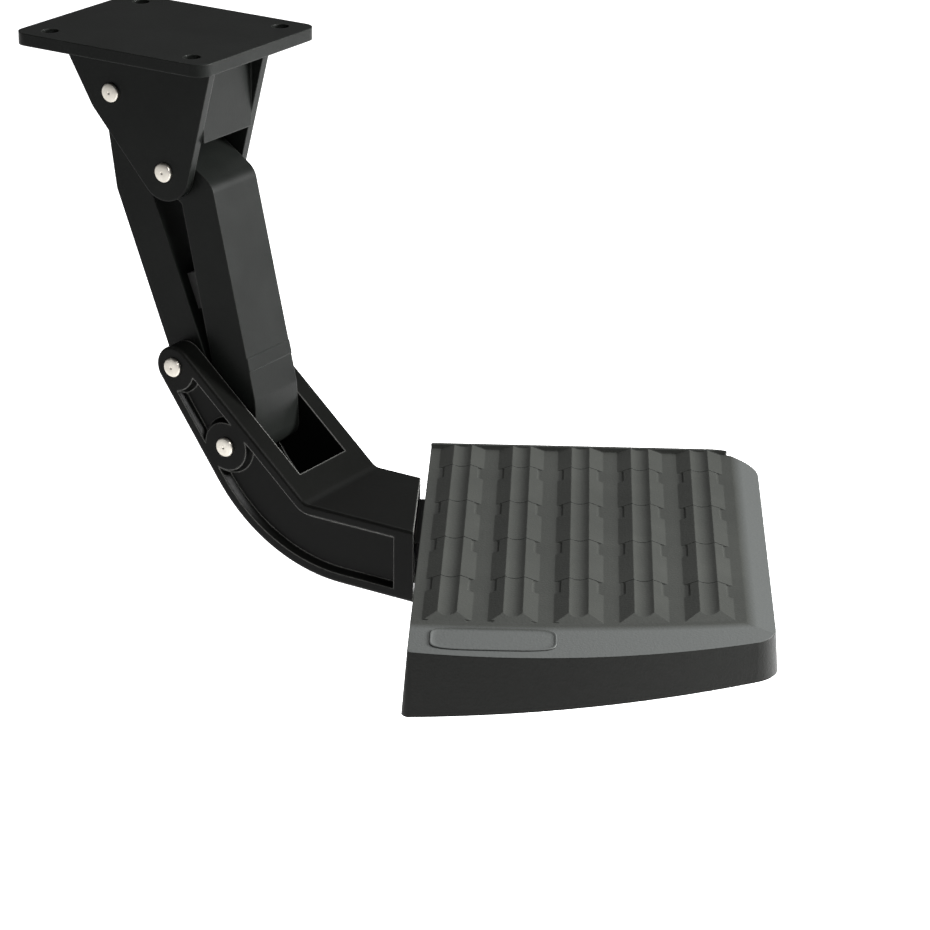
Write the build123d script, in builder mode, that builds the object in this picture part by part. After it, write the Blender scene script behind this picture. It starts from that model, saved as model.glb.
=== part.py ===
"""Retractable truck bed step: a tread pad on a cast arm that swings on two links under the bumper.

Units are millimetres. The origin is the centre of the bracket's top face, which bolts up to the
truck. +X points the way the step swings out, +Y runs along the pivot pins and +Z is up. The step
is drawn swung out, ready to stand on.
"""

import os
from math import acos, cos, radians, sin, sqrt, tan

from build123d import *

os.makedirs("parts", exist_ok=True)

# Linkage: four parallel pins, two in the bracket and two in the arm
pivot_drop = 38.0
pin_dx = 41.0
pin_dz = 46.0
link_length = 180.0
link_lean = 17.0
pin_r = 5.0
running_clear = 0.08
open_pivot_clear = 0.3
fixed_clear = 0.05
side_clear = 0.3

# Slot between the ears, shared by the bracket and the arm
slot_w = 51.0

# Links and their bushes
eye_r = 13.5
front_lean = 21.5
front_bar = 118.0
rear_lean = 13.0
rear_bar = 162.0
rear_offset = 3.4
rear_hip = 26.0
rear_eye_r = 12.5
stow_swing = 90.0
link_wall = 5.0
core_start = 84.0
front_core_end = 112.0
rear_core_end = 150.0
collar_start = 44.0
collar_height = 9.0
collar_proud = 0.5
bush_r = 6.5
bush_length = 12.0
bush_flange_r = 10.0
bush_flange_t = 2.0

# Bracket
plate_length = 150.0
plate_width = 124.0
plate_t = 8.0
plate_corner_r = 10.0
bolt_dx = 112.0
bolt_dy = 94.0
bolt_hole_r = 5.5
cheek_t = 6.0
cheek_r = 19.0
cheek_top = 118.0
tie_x = 42.0
tie_t = 6.0
tie_drop = 54.0

# Pin heads and retaining rings
head_r = 6.3
head_t = 2.0
head_chamfer = 0.6
ring_r = 8.6
ring_t = 1.2
ring_gap = 5.6
groove_depth = 0.7
groove_clear = 0.1
pin_tail = 3.2

# Return spring in the fork of the front link
spring_wire_r = 1.5
spring_turns = 4
spring_pitch = 3.6
spring_leg = 36.0
spring_bar_r = 4.0
spring_bar_x = -45.0
fork_w = 24.0
fork_r = 21.0

# Rubber stops
stop_start = 30.0
stop_length = 24.0
stop_width = 30.0
stop_clear = 0.4
buffer_x = -60.0
buffer_r = 11.0
buffer_tip_r = 8.0

# Cast arm
arm_w = 82.0
ear_r = 13.5
top_slope = 41.2
back_slope = 54.5
bend_z = -72.0
arm_depth = 48.3
back_r = 118.0
bend_r = 9.0
arm_edge_r = 2.0
web_t = 5.0
window_back = 19.0
web_open_r = 19.0
recess_depth = 5.0
recess_rim = 6.5
recess_draft = 28.0
boss_r = 16.0
recess_end_gap = 13.0
core_wall = 10.0
core_roof = 8.0
core_x = 86.0
core_rib = 5.0

# Tread pad
pad_turn = 30.8
pad_x = 113.5
pad_y = 89.9
pad_w = 215.5
near_r = 470.0
near_centre_x = 55.0
near_centre_y = 151.0
far_corner_r = 32.0
near_corner_r = 16.0
left_corner_r = 2.0
pad_skin = 5.0
pad_wall = 4.0
skirt_inner = 47.0
skirt_outer = 28.5
skirt_draft = 4.5
bevel_r = 900.0
bevel_x = 43.0
bevel_start = 290.0
bevel_slope = 13.5
bevel_depth = 8.0
side_bevel = 17.0
side_bevel_drop = 3.0
pad_gap = 4.5

# Tread bars
bar_count = 5
bar_pitch = 38.9
bar_start = 6.6
bar_slope = 9.0
bar_top = 11.6
bar_h = 3.2
bar_dip = 1.4
bar_end_gap = 4.0
bar_end_slope = 8.5
row_count = 4
row_pitch = 61.5
row_first = 38.0
row_groove = 1.0
groove_inset = 0.7
notch_length = 18.0
notch_inset = 3.8
rim_t = 2.5
embed = 1.0

# Tongue of the arm under the pad, and what holds the pad to it
rib_h = 6.0
rib_t = 3.0
rib_count_x = 6
rib_count_y = 8
tongue_w = 74.0
tongue_reach = 165.0
tongue_rib_t = 8.0
tongue_rib_h = 17.0
tongue_rib_reach = 140.0
tongue_rib_dy = 60.0
tongue_t = 12.0
tongue_centre = -102.5
tongue_clear = 0.6
screw_r = 2.5
screw_clear = 0.1
screw_bite = 8.0
screw_head_r = 4.6
screw_head_t = 3.0
screw_hex = 2.2
screw_hex_depth = 1.6
screw_dx = 105.0
screw_dy = 34.0
screw_centre = 82.0
screw_boss_r = 7.0
washer_r = 6.0
washer_t = 1.2

# Places worked out from the sizes above
link_w = slot_w - 2 * (bush_flange_t + side_clear)
cheek_out = slot_w / 2 + cheek_t
pin_a = Vector(-pin_dx / 2, -pivot_drop)
pin_step = Vector(pin_dx, -pin_dz)
pin_b = pin_a + pin_step
swing = Vector(sin(radians(link_lean)), -cos(radians(link_lean))) * link_length
pin_c = pin_a + swing
pin_d = pin_c + pin_step


def along(lean):
    """Unit vector up a bar that leans back from the vertical by this many degrees."""
    return Vector(-sin(radians(lean)), cos(radians(lean)))


def outward(lean):
    """Unit vector square to that bar, towards the step."""
    return Vector(cos(radians(lean)), sin(radians(lean)))


front_knee = pin_c + along(front_lean) * front_bar
rear_foot = pin_d + outward(rear_lean) * rear_offset
rear_knee = rear_foot + along(rear_lean) * rear_bar
leg_down = (front_knee - pin_a).normalized()
coil_r = eye_r + spring_wire_r + side_clear
spring_bar_z = pin_a.Y + coil_r + spring_wire_r + side_clear + spring_bar_r
mid = Plane.XZ


# Mounting bracket: a plate with two cheeks, a tie between them and a bar for the spring
with BuildPart() as mount_bracket:
    with BuildSketch(Plane.XY.offset(-plate_t)):
        RectangleRounded(plate_length, plate_width, plate_corner_r)
    extrude(amount=plate_t)
    with BuildSketch(mid.offset(slot_w / 2)):
        with Locations(pin_a, pin_b):
            Circle(cheek_r)
        with Locations((0, -plate_t - embed)):
            Rectangle(cheek_top, 2 * embed)
        make_hull()
    extrude(amount=cheek_t)
    mirror(about=Plane.XZ)
    with BuildSketch(Plane.XY.offset(-plate_t)):
        with Locations((tie_x + tie_t / 2, 0)):
            Rectangle(tie_t, slot_w)
    extrude(amount=-tie_drop)
    with BuildSketch(mid):
        with Locations((spring_bar_x, spring_bar_z)):
            Circle(spring_bar_r)
    extrude(amount=cheek_out, both=True)
    with BuildSketch(mid):
        with Locations(pin_a, pin_b):
            Circle(pin_r + fixed_clear)
    extrude(amount=cheek_out, both=True, mode=Mode.SUBTRACT)
    with GridLocations(bolt_dx, bolt_dy, 2, 2):
        Hole(bolt_hole_r)


# Front link: a cast bar with a forked upper eye, open at the back
with BuildPart() as front_link:
    with BuildSketch(mid):
        with Locations(pin_c, front_knee):
            Circle(eye_r)
        make_hull()
    extrude(amount=link_w / 2, both=True)
    with BuildSketch(mid):
        with Locations(front_knee, pin_a):
            Circle(eye_r)
        make_hull()
    extrude(amount=link_w / 2, both=True)
    core = (core_start / 2 + front_core_end) / 2
    core_mid = pin_c + along(front_lean) * core - outward(front_lean) * link_wall
    with BuildSketch(mid):
        with Locations(core_mid):
            Rectangle(2 * eye_r, front_core_end - core_start / 2, rotation=front_lean)
    extrude(amount=link_w / 2 - link_wall, both=True, mode=Mode.SUBTRACT)
    with BuildSketch(mid):
        with Locations(pin_a):
            Circle(fork_r)
    extrude(amount=fork_w / 2, both=True, mode=Mode.SUBTRACT)
    with BuildSketch(mid):
        with Locations(pin_a, pin_c):
            Circle(bush_r + fixed_clear)
    extrude(amount=link_w, both=True, mode=Mode.SUBTRACT)


# Rear link: a straight bar with a thin collar across its front, open at the back
with BuildPart() as rear_link:
    with BuildSketch(mid):
        with Locations(pin_d):
            Circle(rear_eye_r)
        with Locations(rear_foot + along(rear_lean) * rear_hip, rear_knee):
            Circle(eye_r)
        make_hull()
    extrude(amount=link_w / 2, both=True)
    with BuildSketch(mid):
        with Locations(rear_knee, pin_b):
            Circle(eye_r)
        make_hull()
    extrude(amount=link_w / 2, both=True)
    collar_mid = rear_foot + along(rear_lean) * (collar_start + collar_height / 2)
    with BuildSketch(mid):
        with Locations(collar_mid + outward(rear_lean) * eye_r):
            Rectangle(2 * collar_proud, collar_height, rotation=rear_lean)
    extrude(amount=link_w / 2, both=True)
    core_mid = (
        rear_foot
        + along(rear_lean) * (core_start + rear_core_end) / 2
        - outward(rear_lean) * link_wall
    )
    with BuildSketch(mid):
        with Locations(core_mid):
            Rectangle(2 * eye_r, rear_core_end - core_start, rotation=rear_lean)
    extrude(amount=link_w / 2 - link_wall, both=True, mode=Mode.SUBTRACT)
    with BuildSketch(mid):
        with Locations(pin_b, pin_d):
            Circle(bush_r + fixed_clear)
    extrude(amount=link_w, both=True, mode=Mode.SUBTRACT)


def bush_pair(pin, clear):
    """Two flanged bushes, pressed into a link's eye from both sides."""
    with BuildPart() as pair:
        with BuildSketch(mid.offset(link_w / 2)):
            with Locations(pin):
                Circle(bush_flange_r)
        extrude(amount=bush_flange_t)
        with BuildSketch(mid.offset(link_w / 2)):
            with Locations(pin):
                Circle(bush_r)
        extrude(amount=-bush_length)
        with BuildSketch(mid):
            with Locations(pin):
                Circle(pin_r + clear)
        extrude(amount=link_w, mode=Mode.SUBTRACT)
        mirror(about=Plane.XZ)
    return pair


def pivot_pin(pin, half_width):
    """A pin with a thin head on the near side and a ring groove on the far side."""
    with BuildPart() as shaft:
        with BuildSketch(mid.offset(half_width)):
            with Locations(pin):
                Circle(head_r)
        extrude(amount=head_t)
        chamfer(shaft.faces().sort_by(Axis.Y)[0].edges(), head_chamfer)
        with BuildSketch(mid.offset(half_width)):
            with Locations(pin):
                Circle(pin_r)
        extrude(amount=-2 * half_width - pin_tail)
        with BuildSketch(mid.offset(-half_width - groove_clear)):
            with Locations(pin):
                Circle(pin_r)
                Circle(pin_r - groove_depth, mode=Mode.SUBTRACT)
        extrude(amount=-ring_t - 2 * groove_clear, mode=Mode.SUBTRACT)
    return shaft


def ring_set(pins, half_width):
    """Open retaining rings that sit in the pins' grooves."""
    with BuildPart() as rings:
        with BuildSketch(mid.offset(-half_width - 2 * groove_clear)):
            with Locations(*pins):
                Circle(ring_r)
                Circle(pin_r - groove_depth + fixed_clear, mode=Mode.SUBTRACT)
            with Locations(*[pin - Vector(0, ring_r / 2) for pin in pins]):
                Rectangle(ring_gap, ring_r, mode=Mode.SUBTRACT)
        extrude(amount=-ring_t)
    return rings


front_link_upper_bushes = bush_pair(pin_a, running_clear)
front_link_lower_bushes = bush_pair(pin_c, running_clear)
rear_link_upper_bushes = bush_pair(pin_b, running_clear)
rear_link_lower_bushes = bush_pair(pin_d, open_pivot_clear)
bracket_front_pin = pivot_pin(pin_a, cheek_out)
bracket_rear_pin = pivot_pin(pin_b, cheek_out)
arm_front_pin = pivot_pin(pin_c, arm_w / 2)
arm_rear_pin = pivot_pin(pin_d, arm_w / 2)
bracket_pin_rings = ring_set([pin_a, pin_b], cheek_out)
arm_pin_rings = ring_set([pin_c, pin_d], arm_w / 2)


# Return spring: a coil round the upper front pin, one leg under a bar and one down the link
coil_length = (spring_turns + acos(leg_down.X) / radians(360)) * spring_pitch
with BuildPart() as return_spring:
    with BuildLine() as coil:
        Helix(
            pitch=spring_pitch,
            height=coil_length,
            radius=coil_r,
            center=(pin_a.X, -coil_length / 2, pin_a.Y),
            direction=(0, 1, 0),
        )
    with BuildSketch(Plane(coil.line @ 0, z_dir=coil.line % 0)):
        Circle(spring_wire_r)
    sweep(path=coil.line)
    with BuildSketch(Plane(coil.line @ 0, z_dir=coil.line % 0)):
        Circle(spring_wire_r)
    extrude(amount=spring_bar_x - spring_bar_r - pin_a.X)
    with BuildSketch(Plane(coil.line @ 1, z_dir=coil.line % 1)):
        Circle(spring_wire_r)
    extrude(amount=spring_leg)


# Link stop: a rubber wedge on the front link that the rear link closes on
rear_span = rear_knee - pin_d
rear_tilt = (rear_eye_r - eye_r) / rear_span.length
rear_back = (
    rear_span.normalized() * rear_tilt
    + Vector(-rear_span.Y, rear_span.X).normalized() * sqrt(1 - rear_tilt**2)
)
stop_low = pin_c + along(front_lean) * stop_start + outward(front_lean) * eye_r
stop_high = stop_low + along(front_lean) * stop_length


def stop_height(point):
    """Distance from a point on the front link out to just short of the rear link's back face."""
    room = rear_back.dot(point - pin_d) - rear_eye_r - stop_clear
    return outward(front_lean) * (-room / rear_back.dot(outward(front_lean)))


with BuildPart() as link_stop:
    with BuildSketch(mid):
        with BuildLine():
            Polyline(
                stop_low,
                stop_low + stop_height(stop_low),
                stop_high + stop_height(stop_high),
                stop_high,
                close=True,
            )
        make_face()
    extrude(amount=stop_width / 2, both=True)


# Stow buffer: a rubber cone under the plate that the front link meets when the step is up
upper_span = (front_knee - pin_a).rotate(Axis.Z, -stow_swing)
upper_fall = upper_span.Y / upper_span.X
upper_face = pin_a.Y + eye_r * sqrt(1 + upper_fall**2)
buffer_tip_z = upper_face + upper_fall * (buffer_x + buffer_tip_r - pin_a.X) + stop_clear
with BuildPart() as stow_buffer:
    with BuildSketch(Plane.XY.offset(-plate_t)):
        with Locations((buffer_x, 0)):
            Circle(buffer_r)
    with BuildSketch(Plane.XY.offset(buffer_tip_z)):
        with Locations((buffer_x, 0)):
            Circle(buffer_tip_r)
    loft()


# Pad frame: x across the step, y along the tread bars, z up from the tread's floor
pad_origin = Vector(pin_c.X + pad_x, pad_y, pin_c.Y + bend_z)
pad_dir = Vector(cos(radians(pad_turn)), sin(radians(pad_turn)), 0)
bar_dir = Vector(-sin(radians(pad_turn)), cos(radians(pad_turn)), 0)
pad_plane = Plane(origin=pad_origin, x_dir=pad_dir, z_dir=(0, 0, 1))
pad_section = Plane(origin=pad_origin, x_dir=pad_dir, z_dir=-bar_dir)
arm_end = Plane(origin=pad_origin - pad_dir * pad_gap, x_dir=bar_dir, z_dir=pad_dir)


def near_edge(x):
    """Place of the near edge of the pad at this distance from its left side."""
    return near_centre_y - sqrt(near_r**2 - (x - near_centre_x) ** 2)


# Side profile of the arm: ear, sloping top, bend and level end, with one long curve behind
top_dir = Vector(sin(radians(top_slope)), cos(radians(top_slope)))
slope_dir = Vector(cos(radians(top_slope)), -sin(radians(top_slope)))
back_dir = Vector(-sin(radians(back_slope)), -cos(radians(back_slope)))
ear_top = pin_c + top_dir * ear_r
ear_back = pin_c + back_dir * ear_r
arm_top_z = pin_c.Y + bend_z
arm_base_z = arm_top_z - arm_depth
bend_point = ear_top + slope_dir * ((ear_top.Y - arm_top_z) / sin(radians(top_slope)))
arm_far_x = pad_origin.X + tan(radians(pad_turn)) * (pad_y + arm_w / 2)
heel = Vector(ear_back.X + (ear_back.Y - arm_base_z) / tan(radians(back_slope)), arm_base_z)
window_end = bend_point - slope_dir * window_back

with BuildSketch(mid) as arm_side:
    with BuildLine():
        Polyline(ear_top, bend_point, (arm_far_x, arm_top_z), (arm_far_x, arm_base_z), heel, ear_back)
        ThreePointArc(ear_back, pin_c + (top_dir + back_dir).normalized() * ear_r, ear_top)
    make_face()
    fillet(arm_side.vertices().sort_by_distance(heel)[0], back_r)
    fillet(arm_side.vertices().sort_by_distance(bend_point)[0], bend_r)

# Recesses in the arm's sides: inside the rim, clear of the pin bosses and short of the end
with BuildSketch(mid) as arm_recess:
    add(arm_side.sketch_local)
    offset(amount=-recess_rim)
    with Locations(pin_c, pin_d):
        Circle(boss_r, mode=Mode.SUBTRACT)


def end_x(y, back):
    """Place along X of the arm's slanting end at this Y, less a distance back from it."""
    return pad_origin.X + tan(radians(pad_turn)) * (pad_y - y) - (pad_gap + back) / cos(radians(pad_turn))


# Cast arm: two ears and a slot for the links, a hollow level end and a tongue under the pad
with BuildPart() as step_arm:
    with BuildSketch(mid):
        add(arm_side.sketch_local)
    extrude(amount=arm_w / 2, both=True)
    fillet(step_arm.faces().sort_by(Axis.Y)[0].edges(), arm_edge_r)
    fillet(step_arm.faces().sort_by(Axis.Y)[-1].edges(), arm_edge_r)
    split(bisect_by=arm_end, keep=Keep.BOTTOM)
    # Slot for the links, closed behind by a web below the ears
    with BuildSketch(mid):
        add(arm_side.sketch_local)
        offset(amount=-web_t)
        with Locations(window_end - slope_dir * link_length):
            Rectangle(2 * link_length, 2 * link_length, rotation=-top_slope, mode=Mode.INTERSECT)
        with Locations(window_end - slope_dir * link_length / 2):
            Rectangle(link_length, 2 * (web_t + embed), rotation=-top_slope)
        with Locations(pin_c):
            Circle(web_open_r)
    extrude(amount=slot_w / 2, both=True, mode=Mode.SUBTRACT)
    # Recessed sides with sloping walls
    for side in (-1, 1):
        with BuildSketch(mid.offset(side * arm_w / 2)):
            add(arm_recess.sketch_local)
            recess_end = end_x(-side * arm_w / 2, recess_end_gap)
            with Locations((recess_end, arm_top_z)):
                Rectangle(2 * arm_far_x, 4 * arm_w, align=(Align.MAX, Align.CENTER), mode=Mode.INTERSECT)
        extrude(amount=-side * recess_depth, taper=recess_draft, mode=Mode.SUBTRACT)
    # Hollow under the level end, with a rib along its middle
    with BuildSketch(Plane.XY.offset(arm_base_z)):
        half = arm_w / 2 - core_wall
        with BuildLine():
            Polyline(
                (pin_c.X + core_x, -half),
                (end_x(-half, core_wall), -half),
                (end_x(half, core_wall), half),
                (pin_c.X + core_x, half),
                close=True,
            )
        make_face()
        Rectangle(2 * arm_far_x, core_rib, mode=Mode.SUBTRACT)
    extrude(amount=arm_depth - core_roof, mode=Mode.SUBTRACT)
    # Tongue with two tapering ribs below it
    with BuildSketch(pad_plane.offset(-pad_skin - rib_h)):
        with Locations((-pad_gap - embed, tongue_centre)):
            Rectangle(tongue_reach + pad_gap + embed, tongue_w, align=(Align.MIN, Align.CENTER))
    extrude(amount=-tongue_t)
    tongue_base = -pad_skin - rib_h - tongue_t
    for side in (-1, 1):
        with BuildSketch(pad_section.offset(side * tongue_rib_dy / 2 - tongue_centre)):
            with BuildLine():
                Polyline(
                    (-pad_gap - embed, tongue_base + embed),
                    (-pad_gap - embed, tongue_base - tongue_rib_h),
                    (tongue_rib_reach, tongue_base + embed),
                    close=True,
                )
            make_face()
        extrude(amount=tongue_rib_t / 2, both=True)
    with BuildSketch(mid):
        with Locations(pin_c, pin_d):
            Circle(pin_r + fixed_clear)
    extrude(amount=arm_w, both=True, mode=Mode.SUBTRACT)
    with BuildSketch(pad_plane):
        with Locations((screw_centre, tongue_centre)):
            with GridLocations(screw_dx, screw_dy, 2, 2):
                Circle(screw_r + screw_clear)
    extrude(amount=2 * tongue_base, mode=Mode.SUBTRACT)

# Plan of the pad: three straight sides and one long curve at the near end
with BuildSketch(pad_plane) as pad_plan:
    with BuildLine():
        Polyline((0, near_edge(0)), (0, 0), (pad_w, 0), (pad_w, near_edge(pad_w)))
        ThreePointArc((pad_w, near_edge(pad_w)), (pad_w / 2, near_edge(pad_w / 2)), (0, near_edge(0)))
    make_face()
    fillet(pad_plan.vertices().sort_by_distance((pad_w, 0))[0], far_corner_r)
    fillet(pad_plan.vertices().sort_by_distance((pad_w, near_edge(pad_w)))[0], near_corner_r)
    fillet(pad_plan.vertices().group_by(Axis.X)[0], left_corner_r)


def bar_profile(inset, foot_inset):
    """Section of every tread bar: two slopes and a dished top, drawn in by these amounts."""
    for column in range(bar_count):
        left = bar_start + column * bar_pitch
        right = left + 2 * bar_slope + bar_top
        foot_h = bar_h * foot_inset / bar_slope - inset
        with BuildLine() as section:
            Polyline(
                (left + bar_slope + inset, bar_h - inset),
                (left + foot_inset + inset, foot_h),
                (left + foot_inset + inset, -embed),
                (right - foot_inset - inset, -embed),
                (right - foot_inset - inset, foot_h),
                (right - bar_slope - inset, bar_h - inset),
            )
            ThreePointArc(
                (right - bar_slope - inset, bar_h - inset),
                ((left + right) / 2, bar_h - bar_dip - inset),
                (left + bar_slope + inset, bar_h - inset),
            )
        make_face(section.edges())


# Tread pad: a moulded shell, thinner towards its outer side, with dished bars on top
with BuildPart() as step_pad:
    with BuildSketch(pad_plane):
        add(pad_plan.sketch_local)
    extrude(amount=-skirt_inner, taper=-skirt_draft)
    with BuildSketch(pad_plane.offset(-pad_skin - bevel_depth)):
        add(pad_plan.sketch_local)
        offset(amount=-pad_wall)
    extrude(amount=-skirt_inner, mode=Mode.SUBTRACT)
    with BuildSketch(pad_plane.offset(-pad_skin)):
        add(pad_plan.sketch_local)
        offset(amount=-pad_wall)
        with Locations((bevel_x, bevel_r - bevel_start)):
            Circle(bevel_r, mode=Mode.INTERSECT)
    extrude(amount=-skirt_inner, mode=Mode.SUBTRACT)
    # Ribs under the skin, with bosses for the screws
    with BuildSketch(pad_plane.offset(-pad_skin)):
        with Locations((pad_w / 2, near_edge(0) / 2)):
            with GridLocations(pad_w / rib_count_x, 1, rib_count_x - 1, 1):
                Rectangle(rib_t, pad_w * 2)
            with GridLocations(1, pad_w / rib_count_x, 1, rib_count_y - 1):
                Rectangle(pad_w * 2, rib_t)
        with Locations((screw_centre, tongue_centre)):
            with GridLocations(screw_dx, screw_dy, 2, 2):
                Circle(screw_boss_r)
        add(pad_plan.sketch_local, mode=Mode.INTERSECT)
    extrude(amount=-rib_h)
    # Underside rises towards the outer side
    with BuildSketch(pad_section):
        with BuildLine():
            Polyline(
                (-pad_gap, -skirt_inner),
                (0, -skirt_inner),
                (pad_w, -skirt_outer),
                (pad_w + skirt_inner, -skirt_outer),
                (pad_w + skirt_inner, -2 * skirt_inner),
                (-pad_gap, -2 * skirt_inner),
                close=True,
            )
        make_face()
    extrude(amount=2 * near_r, both=True, mode=Mode.SUBTRACT)
    # Way through the inner wall for the tongue and its ribs
    with BuildSketch(pad_plane.offset(-pad_skin - rib_h)):
        with Locations((0, tongue_centre)):
            Rectangle(2 * pad_wall + embed, tongue_w + 2 * tongue_clear)
    extrude(amount=-skirt_inner, mode=Mode.SUBTRACT)
    # Soft bevel along the outer side
    with BuildSketch(pad_section):
        with BuildLine():
            Polyline(
                (pad_w - side_bevel, 0),
                (pad_w + side_bevel, 0),
                (pad_w + side_bevel, -2 * side_bevel_drop),
                close=True,
            )
        make_face()
    extrude(amount=2 * near_r, both=True, mode=Mode.SUBTRACT)
    # Bars: a continuous core, then rows with thin joints and a notch at the start of each
    with BuildSketch(pad_section):
        bar_profile(groove_inset, 0)
    extrude(amount=bevel_start)
    for row in range(row_count + 1):
        start = row_first + (row - 1) * row_pitch + row_groove if row else 0
        finish = min(row_first + row * row_pitch, bevel_start)
        notch = notch_length if row else 0
        if row:
            with BuildSketch(pad_section.offset(start)):
                bar_profile(0, notch_inset)
            extrude(amount=notch)
        with BuildSketch(pad_section.offset(start + notch)):
            bar_profile(0, 0)
        extrude(amount=finish - start - notch)
    # Sloping bar ends and the wide bevel beyond them, on one long curve
    bevel_centre = pad_plane.from_local_coords(Vector(bevel_x, bevel_r - bevel_start, 0))
    bar_foot = bevel_r - bar_end_gap
    with BuildSketch(Plane(origin=bevel_centre, x_dir=-bar_dir, z_dir=-pad_dir)):
        with BuildLine():
            Polyline(
                (bar_foot - bar_end_slope, bar_h),
                (bar_foot, 0),
                (bevel_r, 0),
                (bevel_r + pad_w, -pad_w * tan(radians(bevel_slope))),
                (bevel_r + pad_w, bar_h),
                close=True,
            )
        make_face()
    revolve(axis=Axis(bevel_centre, (0, 0, 1)), mode=Mode.SUBTRACT)
    # Low rim that closes the channels at the far end
    with BuildSketch(pad_plane.offset(-embed)):
        Rectangle(pad_w - side_bevel, rim_t, align=(Align.MIN, Align.MAX))
        add(pad_plan.sketch_local, mode=Mode.INTERSECT)
    extrude(amount=embed + bar_h)
    # Blind holes for the screws
    with BuildSketch(pad_plane.offset(-pad_skin - rib_h)):
        with Locations((screw_centre, tongue_centre)):
            with GridLocations(screw_dx, screw_dy, 2, 2):
                Circle(screw_r + screw_clear)
    extrude(amount=screw_bite + embed, mode=Mode.SUBTRACT)

# Screws and washers that hold the pad down on the tongue
with BuildPart() as pad_washers:
    with BuildSketch(pad_plane.offset(tongue_base)):
        with Locations((screw_centre, tongue_centre)):
            with GridLocations(screw_dx, screw_dy, 2, 2):
                Circle(washer_r)
                Circle(screw_r + screw_clear, mode=Mode.SUBTRACT)
    extrude(amount=-washer_t)

with BuildPart() as pad_screws:
    with BuildSketch(pad_plane.offset(tongue_base - washer_t)):
        with Locations((screw_centre, tongue_centre)):
            with GridLocations(screw_dx, screw_dy, 2, 2):
                Circle(screw_r)
    extrude(amount=washer_t + tongue_t + screw_bite)
    with BuildSketch(pad_plane.offset(tongue_base - washer_t)):
        with Locations((screw_centre, tongue_centre)):
            with GridLocations(screw_dx, screw_dy, 2, 2):
                Circle(screw_head_r)
    extrude(amount=-screw_head_t)
    with BuildSketch(pad_plane.offset(tongue_base - washer_t - screw_head_t)):
        with Locations((screw_centre, tongue_centre)):
            with GridLocations(screw_dx, screw_dy, 2, 2):
                RegularPolygon(screw_hex, 6)
    extrude(amount=screw_hex_depth, mode=Mode.SUBTRACT)

pieces = {
    "mount_bracket": mount_bracket,
    "bracket_front_pin": bracket_front_pin,
    "bracket_rear_pin": bracket_rear_pin,
    "bracket_pin_rings": bracket_pin_rings,
    "return_spring": return_spring,
    "stow_buffer": stow_buffer,
    "front_link": front_link,
    "front_link_upper_bushes": front_link_upper_bushes,
    "front_link_lower_bushes": front_link_lower_bushes,
    "link_stop": link_stop,
    "rear_link": rear_link,
    "rear_link_upper_bushes": rear_link_upper_bushes,
    "rear_link_lower_bushes": rear_link_lower_bushes,
    "step_arm": step_arm,
    "arm_front_pin": arm_front_pin,
    "arm_rear_pin": arm_rear_pin,
    "arm_pin_rings": arm_pin_rings,
    "step_pad": step_pad,
    "pad_screws": pad_screws,
    "pad_washers": pad_washers,
}
for name, piece in pieces.items():
    piece.part.label = name
    export_step(piece.part, f"parts/{name}.step")
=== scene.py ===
from math import cos, pi, radians, sin

import bmesh
import bpy
import numpy as np
from mathutils import Matrix, Vector


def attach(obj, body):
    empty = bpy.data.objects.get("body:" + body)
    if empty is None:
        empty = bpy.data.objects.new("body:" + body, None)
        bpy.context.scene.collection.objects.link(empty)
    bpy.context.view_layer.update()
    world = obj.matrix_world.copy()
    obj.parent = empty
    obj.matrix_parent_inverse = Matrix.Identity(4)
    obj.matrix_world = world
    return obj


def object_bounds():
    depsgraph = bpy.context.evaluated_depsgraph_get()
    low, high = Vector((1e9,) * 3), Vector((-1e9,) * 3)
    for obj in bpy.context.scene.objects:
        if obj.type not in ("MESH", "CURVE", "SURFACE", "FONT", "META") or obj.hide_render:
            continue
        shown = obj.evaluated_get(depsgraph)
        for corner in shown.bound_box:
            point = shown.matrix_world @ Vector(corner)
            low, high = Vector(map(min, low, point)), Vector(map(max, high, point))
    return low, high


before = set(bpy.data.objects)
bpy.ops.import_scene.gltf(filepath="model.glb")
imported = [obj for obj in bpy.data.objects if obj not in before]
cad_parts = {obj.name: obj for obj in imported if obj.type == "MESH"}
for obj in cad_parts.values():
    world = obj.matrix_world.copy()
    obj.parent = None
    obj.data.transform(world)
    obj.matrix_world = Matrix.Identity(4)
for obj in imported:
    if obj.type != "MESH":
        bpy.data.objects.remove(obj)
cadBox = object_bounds()
print("frame loaded:", len(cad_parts), "nodes")


# shader maths: a socket that can be added, multiplied and so on
class Wire:
    def __init__(self, tree, socket):
        self.tree = tree
        self.socket = socket

    # any node: its type, its settings, its sockets' values or links
    def node(self, kind, settings=None, sockets=None, out=0):
        made = self.tree.nodes.new(kind)
        for key, value in (settings or {}).items():
            setattr(made, key, value)
        for key, value in (sockets or {}).items():
            if isinstance(value, Wire):
                self.tree.links.new(value.socket, made.inputs[key])
            else:
                made.inputs[key].default_value = value
        return Wire(self.tree, made.outputs[out])

    def maths(self, operation, first, second):
        return self.node("ShaderNodeMath", {"operation": operation}, {0: first, 1: second})

    def __add__(self, other):
        return self.maths("ADD", self, other)

    def __sub__(self, other):
        return self.maths("SUBTRACT", self, other)

    def __rsub__(self, other):
        return self.maths("SUBTRACT", other, self)

    def __mul__(self, other):
        return self.maths("MULTIPLY", self, other)

    def __pow__(self, other):
        return self.maths("POWER", self, other)

    __radd__ = __add__
    __rmul__ = __mul__


# a new material: its shader node and a wire that carries Object coordinates
def startMaterial(name, **constants):
    made = bpy.data.materials.new(name)
    made.use_nodes = True
    tree = made.node_tree
    shader = tree.nodes["Principled BSDF"]
    for key, value in constants.items():
        shader.inputs[key.replace("_", " ")].default_value = value
    place = Wire(tree, tree.nodes.new("ShaderNodeTexCoord").outputs["Object"])
    return made, shader, place


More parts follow.
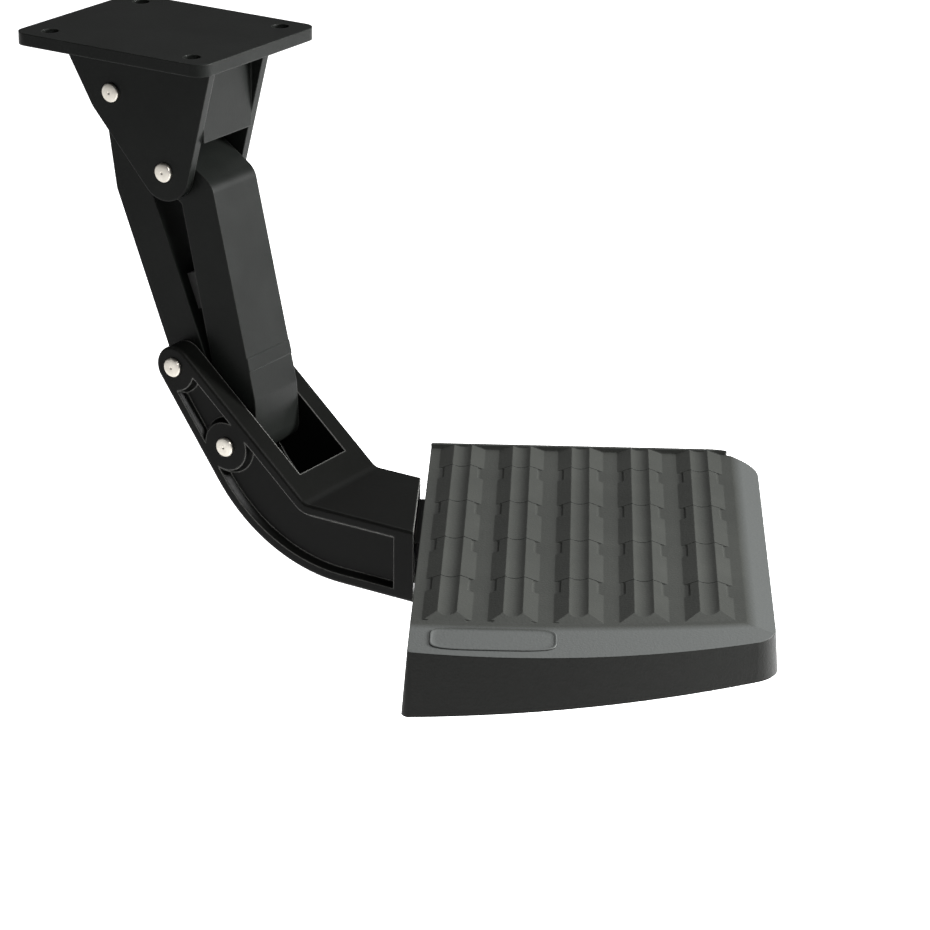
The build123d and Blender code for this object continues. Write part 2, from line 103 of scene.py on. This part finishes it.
def feed(shader, **wires):
    for key, wire in wires.items():
        wire.tree.links.new(wire.socket, shader.inputs[key.replace("_", " ")])


def noise(place, scale, detail=3.0, rough=0.55):
    sockets = {"Vector": place, "Scale": scale, "Detail": detail, "Roughness": rough}
    return place.node("ShaderNodeTexNoise", None, sockets)


# two colours, as wires or as fixed shades, mixed by a mask
def blended(mask, first, second):
    return mask.node("ShaderNodeMix", {"data_type": "RGBA"}, {0: mask, 6: first, 7: second}, 2)


def between(mask, low, high):
    return blended(mask, (*low, 1), (*high, 1))


def added(first, second):
    sockets = {0: 1.0, 6: first, 7: second}
    return first.node("ShaderNodeMix", {"data_type": "RGBA", "blend_type": "ADD"}, sockets, 2)


def clamped(value):
    return value.node("ShaderNodeClamp", None, {"Value": value})


# edges rounded in the shading, with a fine height on top
def relief(place, height, strength, depth, edge):
    rounded = place.node("ShaderNodeBevel", {"samples": 6}, {"Radius": edge})
    sockets = {"Strength": strength, "Distance": depth, "Height": height, "Normal": rounded}
    return place.node("ShaderNodeBump", None, sockets)


# where a surface bends sharply, in or out: flat normal against the rounded one
def edgeMask(place, reach, gain):
    rounded = place.node("ShaderNodeBevel", {"samples": 6}, {"Radius": reach})
    flat = place.node("ShaderNodeNewGeometry", None, None, 1)
    alike = place.node("ShaderNodeVectorMath", {"operation": "DOT_PRODUCT"}, {0: rounded, 1: flat}, 1)
    return clamped((1 - alike) * gain)


paintLook = dict(
    dark=(0.003, 0.0034, 0.0031),
    light=(0.0075, 0.0084, 0.0076),
    # worn: colour along the edges, partly real edge wear and partly a painted highlight for light caught on the
    # edges
    worn=(0.035, 0.037, 0.034),
    gloss=0.07,
    cloudScale=22.0,
    peelScale=620.0,
    wearGlintScale=90.0,
    wearGlintReach=0.0016,
    wearGlintGain=2.2,
    edge=0.0012,
)


def makePaint():
    look = paintLook
    made, shader, place = startMaterial("satinPaint", IOR=1.5, Specular_IOR_Level=look["gloss"])
    cloud = noise(place, look["cloudScale"])
    peel = noise(place, look["peelScale"], 2.0)
    # lighter colour along edges: partly edge wear, partly a painted highlight
    edgeWearAndGlint = edgeMask(place, look["wearGlintReach"], look["wearGlintGain"]) * noise(place, look["wearGlintScale"])
    base = between(cloud, look["dark"], look["light"])
    feed(
        shader,
        Base_Color=added(base, between(edgeWearAndGlint, (0, 0, 0), look["worn"])),
        Roughness=0.3 + cloud * 0.14,
        Normal=relief(place, peel, 0.12, 0.0004, look["edge"]),
    )
    return made


castLook = dict(
    dark=(0.002, 0.0021, 0.0019),
    light=(0.0048, 0.005, 0.0045),
    # worn: a pale colour along the edges, mostly a painted highlight standing in for glints on the glossy edges,
    # partly real edge wear
    worn=(0.3, 0.3, 0.285),
    gloss=0.06,
    cloudScale=16.0,
    grainScale=420.0,
    pitScale=150.0,
    wearGlintScale=70.0,
    wearGlintReach=0.0015,
    wearGlintGain=3.2,
    edge=0.0018,
)


def makeCast():
    look = castLook
    made, shader, place = startMaterial("castCoat", IOR=1.52, Specular_IOR_Level=look["gloss"])
    cloud = noise(place, look["cloudScale"])
    grain = noise(place, look["grainScale"], 4.0, 0.65)
    pits = noise(place, look["pitScale"], 2.0)
    patchy = 0.35 + noise(place, look["wearGlintScale"]) * 0.65
    # pale colour along edges: mostly a painted highlight, partly edge wear
    edgeWearAndGlint = edgeMask(place, look["wearGlintReach"], look["wearGlintGain"]) * patchy
    base = between(cloud, look["dark"], look["light"])
    feed(
        shader,
        Base_Color=added(base, between(edgeWearAndGlint, (0, 0, 0), look["worn"])),
        Roughness=0.24 + grain * 0.14,
        Normal=relief(place, grain * 0.6 + pits * 0.4, 0.14, 0.0005, look["edge"]),
    )
    return made


treadLook = dict(
    # the darker wall colour below is painted shade for faces that turn away from up
    side=(0.005, 0.0054, 0.0046),
    # the pale colour below is a painted sheen on the smooth border under the tread
    paintedSheenBorder=(0.074, 0.078, 0.076),
    dark=(0.022, 0.0232, 0.0212),
    light=(0.04, 0.0418, 0.0382),
    dust=(0.014, 0.014, 0.0127),
    gloss=0.18,
    borderTop=-0.2822,
    cloudScale=9.0,
    grainScale=900.0,
    cellScale=520.0,
    dustScale=34.0,
    edge=0.0009,
)


# upward faces of the tread keep its own worn, dusty colour; faces turned away from up get painted shade, and the
# smooth border below the tread a pale painted sheen
def makeTread():
    look = treadLook
    made, shader, place = startMaterial("treadPlastic", IOR=1.46, Specular_IOR_Level=look["gloss"])
    facing = place.node("ShaderNodeNewGeometry", None, None, 1)
    upward = place.node("ShaderNodeSeparateXYZ", None, {"Vector": facing}, 2)
    height = place.node("ShaderNodeSeparateXYZ", None, {"Vector": place}, 2)
    low = clamped((look["borderTop"] - height) * 900)
    # faces turned up, and the border, are spared the painted shade
    unshadedFaces = clamped(clamped((upward - 0.25) * 1.8) + (1 - low))
    cloud = noise(place, look["cloudScale"], 4.0)
    grain = noise(place, look["grainScale"], 3.0, 0.65)
    cell = place.node("ShaderNodeTexVoronoi", None, {"Vector": place, "Scale": look["cellScale"]})
    dust = between(noise(place, look["dustScale"], 5.0) ** 3, (0, 0, 0), look["dust"])
    worn = added(between(cloud * 0.6 + grain * 0.4, look["dark"], look["light"]), dust)
    # painted shade on the side walls
    side = between(grain, [shade * 0.8 for shade in look["side"]], look["side"])
    # pale painted sheen on the border
    paintedSheenBorder = between(grain, [shade * 0.85 for shade in look["paintedSheenBorder"]], look["paintedSheenBorder"])
    feed(
        shader,
        Base_Color=blended(unshadedFaces, side, blended(low, worn, paintedSheenBorder)),
        Roughness=0.37 + grain * 0.18,
        Normal=relief(place, grain * 0.7 + cell * 0.3, 0.5, 0.0004, look["edge"]),
    )
    return made


steelLook = dict(dark=(0.4, 0.375, 0.33), light=(0.66, 0.63, 0.57))


def makeSteel():
    made, shader, place = startMaterial("pinSteel", Metallic=1.0)
    turned = noise(place, 260.0, 2.0)
    stain = noise(place, 120.0, 4.0)
    feed(
        shader,
        Base_Color=between(stain, steelLook["dark"], steelLook["light"]),
        Roughness=0.24 + turned * 0.2,
        Normal=relief(place, turned, 0.1, 0.0003, 0.0005),
    )
    return made


def makeSpringWire():
    made, shader, place = startMaterial("springWire", Metallic=0.9)
    stain = noise(place, 140.0, 4.0)
    feed(
        shader,
        Base_Color=between(stain, (0.05, 0.05, 0.052), (0.13, 0.128, 0.125)),
        Roughness=0.34 + stain * 0.2,
        Normal=relief(place, stain, 0.1, 0.0003, 0.0003),
    )
    return made


def makeSoft(name, dark, light, rough):
    made, shader, place = startMaterial(name)
    grain = noise(place, 480.0, 3.0)
    feed(
        shader,
        Base_Color=between(noise(place, 40.0), dark, light),
        Roughness=rough + grain * 0.15,
        Normal=relief(place, grain, 0.2, 0.0004, 0.0008),
    )
    return made


paint = makePaint()
cast = makeCast()
tread = makeTread()
steel = makeSteel()
springWire = makeSpringWire()
rubber = makeSoft("stopRubber", (0.012, 0.012, 0.012), (0.024, 0.024, 0.023), 0.62)
bush = makeSoft("bushPlastic", (0.02, 0.02, 0.021), (0.035, 0.035, 0.036), 0.42)

finishes = {
    "mount_bracket": paint,
    "front_link": paint,
    "rear_link": paint,
    "step_arm": cast,
    "step_pad": tread,
    "return_spring": springWire,
    "stow_buffer": rubber,
    "link_stop": rubber,
}
for name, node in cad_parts.items():
    node.data.materials.clear()
    node.data.materials.append(bush if name.endswith("bushes") else finishes.get(name, steel))
print("finishes on CAD nodes:", len(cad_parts))


# a grid of closed rings becomes a mesh: quads between rings, one face on each end
def addRings(name, rings, body, finish):
    count, around = rings.shape[:2]
    index = np.arange(count * around).reshape(count, around)
    turned = np.roll(index, -1, axis=1)
    quads = np.stack([index[:-1], turned[:-1], turned[1:], index[1:]], axis=-1).reshape(-1, 4)
    mesh = bpy.data.meshes.new(name)
    ends = [index[0].tolist(), index[-1].tolist()]
    mesh.from_pydata(rings.reshape(-1, 3).tolist(), [], quads.tolist() + ends)
    shell = bmesh.new()
    shell.from_mesh(mesh)
    bmesh.ops.recalc_face_normals(shell, faces=shell.faces)
    shell.to_mesh(mesh)
    shell.free()
    mesh.shade_smooth()
    mesh.materials.append(finish)
    piece = bpy.data.objects.new(name, mesh)
    bpy.context.scene.collection.objects.link(piece)
    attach(piece, body)
    return piece


weldBead = dict(
    sides=(-0.0315, 0.0315),
    z=-0.008,
    start=-0.056,
    end=0.056,
    leg=0.0036,
    ripple=0.07,
    pitch=0.0034,
)


# bead: a circle of radius leg * (1 + ripple * chevron wave) carried along x,
# closing in a quarter circle at each end
def addWeldBeads():
    x = np.linspace(weldBead["start"], weldBead["end"], 330)[:, None]
    v = np.linspace(0, 2 * pi, 28, endpoint=False)[None, :]
    for number, y in enumerate(weldBead["sides"]):
        inset = np.minimum(x - weldBead["start"], weldBead["end"] - x) / weldBead["leg"]
        cap = np.sqrt(np.clip(1 - (1 - np.clip(inset, 0, 1)) ** 2, 0.01, 1))
        wave = np.abs(np.sin(pi * x / weldBead["pitch"] + 0.9 * np.cos(v - pi / 4 + number * pi / 2)))
        wander = 1 + 0.05 * np.sin(x * 190 + number * 2.1)
        radius = weldBead["leg"] * cap * wander * (1 + weldBead["ripple"] * (wave - 0.6))
        rings = np.stack([x + 0 * v, y + radius * np.cos(v), weldBead["z"] + radius * np.sin(v)], axis=-1)
        addRings(f"cheekWeld.{number}", rings, "bracket", paint)


# x, z of each pin, the y of its plain end and of its ringed end, and the body that holds it
pinFaces = {
    "bracketFront": dict(x=-0.0205, z=-0.038, ends=(-0.0335, 0.0347), body="bracket"),
    "bracketRear": dict(x=0.0205, z=-0.084, ends=(-0.0335, 0.0347), body="bracket"),
    "armFront": dict(x=0.032127, z=-0.210135, ends=(-0.043, 0.0442), body="arm"),
    "armRear": dict(x=0.073127, z=-0.256135, ends=(-0.043, 0.0442), body="arm"),
}
pinCrown = dict(radii=(0.0059, 0.0046), rise=0.0006, hole=0.16, depth=0.0011, sink=0.0008)


# crown: height rise * (1 - t^2.6) over the radius share t, with a cone-shaped centre hole where t < hole
def addPinCrowns():
    rim, dome, hole = np.linspace(1, 0.9, 6), np.linspace(0.86, 0.2, 14), np.linspace(0.17, 0.02, 8)
    t = np.concatenate([[1.0], rim, dome, hole])[:, None]
    v = np.linspace(0, 2 * pi, 48, endpoint=False)[None, :]
    crown = pinCrown["rise"] * (1 - t**2.6) - pinCrown["depth"] * np.clip(1 - t / pinCrown["hole"], 0, 1)
    crown[0] = -pinCrown["sink"]
    for name, pin in pinFaces.items():
        for end, radius in zip(pin["ends"], pinCrown["radii"]):
            out = 1 if end > 0 else -1
            x = pin["x"] + radius * t * np.cos(v)
            z = pin["z"] + radius * t * np.sin(v)
            rings = np.stack([x, end + out * crown + 0 * v, z], axis=-1)
            addRings(f"pinCrown.{name}.{'near' if out < 0 else 'far'}", rings, pin["body"], steel)


# the wide bevel of the pad is a cone: height 0 at radius 0.9 about its own centre, falling with its slope
padFrame = dict(
    origin=(0.1456, 0.0899, -0.2821),
    turn=30.8,
    coneX=0.043,
    coneY=0.61,
    coneRadius=0.9,
    coneSlope=13.5,
)
barePanel = dict(
    middle=0.0495,
    half=0.0375,
    inner=0.9032,
    outer=0.9238,
    corner=5.0,
    lip=0.0007,
    field=0.0002,
    sink=0.0012,
    insetMm=(0, 0, 0.2, 0.5, 0.9, 1.2, 1.6, 1.9, 4.0, 7.0, 9.8),
    lipShare=(-1.0, 0.0, 0.75, 1.0, 1.0, 0.8, 0.25, 0.0, 0.0, 0.0, 0.0),  # below 0: sunk into the pad
)


# panel: rounded rectangles |c|^k + |s|^k = 1 drawn in ring by ring,
# lifted off the cone into a lip round a low field
def addBarePanel():
    look = barePanel
    deep = (look["outer"] - look["inner"]) / 2
    inset = np.array(look["insetMm"])[:, None] / 1000
    share = np.array(look["lipShare"])[:, None]
    v = np.linspace(0, 2 * pi, 160, endpoint=False)[None, :]
    c, s = np.cos(v), np.sin(v)
    power = look["corner"]
    shrink = (np.abs(c) ** power + np.abs(s) ** power) ** (-1 / power)
    x = look["middle"] + (look["half"] - inset) * c * shrink
    radius = (look["outer"] + look["inner"]) / 2 + (deep - inset) * s * shrink
    lift = np.where(share < 0, -look["sink"], look["field"] + (look["lip"] - look["field"]) * share)
    swing = (x - padFrame["coneX"]) / radius
    padX = padFrame["coneX"] + radius * np.sin(swing)
    padY = padFrame["coneY"] - radius * np.cos(swing)
    up = lift - (radius - padFrame["coneRadius"]) * np.tan(radians(padFrame["coneSlope"]))
    a = radians(padFrame["turn"])
    ox, oy, oz = padFrame["origin"]
    along = ox + padX * cos(a) - padY * sin(a)
    across = oy + padX * sin(a) + padY * cos(a)
    addRings("barePanel", np.stack([along, across, oz + up], axis=-1), "arm", tread)


addWeldBeads()
addPinCrowns()
addBarePanel()
print("new pieces: weld beads, pin crowns, bare panel")


floorLook = dict(size=60.0, drop=0.35, shade=(0.92, 0.92, 0.92, 1), rough=0.9, glow=0.85)


# a wide pale floor below the step, with a faint glow of its own
def addFloor():
    half = floorLook["size"] / 2
    z = min(corner[2] for corner in cadBox) - floorLook["drop"]
    mesh = bpy.data.meshes.new("studioFloor")
    mesh.from_pydata([(-half, -half, z), (half, -half, z), (half, half, z), (-half, half, z)], [], [(0, 1, 2, 3)])
    floor = bpy.data.objects.new("studioFloor", mesh)
    bpy.context.scene.collection.objects.link(floor)
    glow = dict(Emission_Color=(1, 1, 1, 1), Emission_Strength=floorLook["glow"])
    unshadedFaces = startMaterial("paleFloor", Base_Color=floorLook["shade"], Roughness=floorLook["rough"], **glow)[0]
    mesh.materials.append(unshadedFaces)


lamps = {
    "keyRight": dict(at=(2.4, 1.35, 0.66), aim=(0.3, 0.0, -0.28), size=0.7, tall=0.7, power=235.0),
    "backWash": dict(at=(-0.8, 1.6, 2.2), aim=(-0.8, 1.61, -0.7), size=3.0, tall=3.0, power=34.0),
    "sidePanel": dict(at=(1.5, 1.75, 0.05), aim=(0.05, 0.0, -0.15), size=1.5, tall=1.5, power=2.0),
    "edgeStrip": dict(at=(1.52, -0.26, 1.12), aim=(0.08, -0.04, -0.24), size=0.16, tall=0.9, power=34.0),
}


def addLamps():
    for name, look in lamps.items():
        light = bpy.data.lights.new(name, "AREA")
        light.energy = look["power"]
        light.shape = "RECTANGLE"
        light.size = look["size"]
        light.size_y = look["tall"]
        lamp = bpy.data.objects.new(name, light)
        lamp.location = look["at"]
        towards = Vector(look["aim"]) - Vector(look["at"])
        lamp.rotation_euler = towards.to_track_quat("-Z", "Y").to_euler()
        bpy.context.scene.collection.objects.link(lamp)
    world = bpy.data.worlds.new("studio")
    world.use_nodes = True
    tree = world.node_tree
    tree.nodes["Background"].inputs["Color"].default_value = (1, 1, 1, 1)
    seen = Wire(tree, tree.nodes.new("ShaderNodeLightPath").outputs["Is Camera Ray"])
    feed(tree.nodes["Background"], Strength=0.1 + seen * 0.9)  # a white backdrop that gives little light
    bpy.context.scene.world = world
    bpy.context.scene.view_settings.view_transform = "Standard"


# camera: azimuth from -Y towards +X, elevation, roll, all in degrees; focal length in pixels
view = dict(
    at=(1.3493, -1.7553, 0.5643),
    azimuth=32.53,
    elevation=21.3,
    roll=-0.69,
    focal=3552.0,
    frame=930.0,
)


def addCamera():
    a, e, r = (radians(view[key]) for key in ("azimuth", "elevation", "roll"))
    ahead = Vector((-sin(a) * cos(e), cos(a) * cos(e), -sin(e)))
    right = Vector((cos(a), sin(a), 0))
    down = ahead.cross(right)
    tilted = right * cos(r) + down * sin(r)
    under = down * cos(r) - right * sin(r)
    lens = bpy.data.cameras.new("photoView")
    lens.sensor_width = 36.0
    lens.lens = view["focal"] * lens.sensor_width / view["frame"]
    lens.clip_end = 20.0
    camera = bpy.data.objects.new("photoView", lens)
    turn = Matrix((tilted, -under, -ahead)).transposed().to_4x4()
    camera.matrix_world = Matrix.Translation(view["at"]) @ turn
    bpy.context.scene.collection.objects.link(camera)
    bpy.context.scene.camera = camera


addFloor()
addLamps()
addCamera()
print("floor, light and camera set")
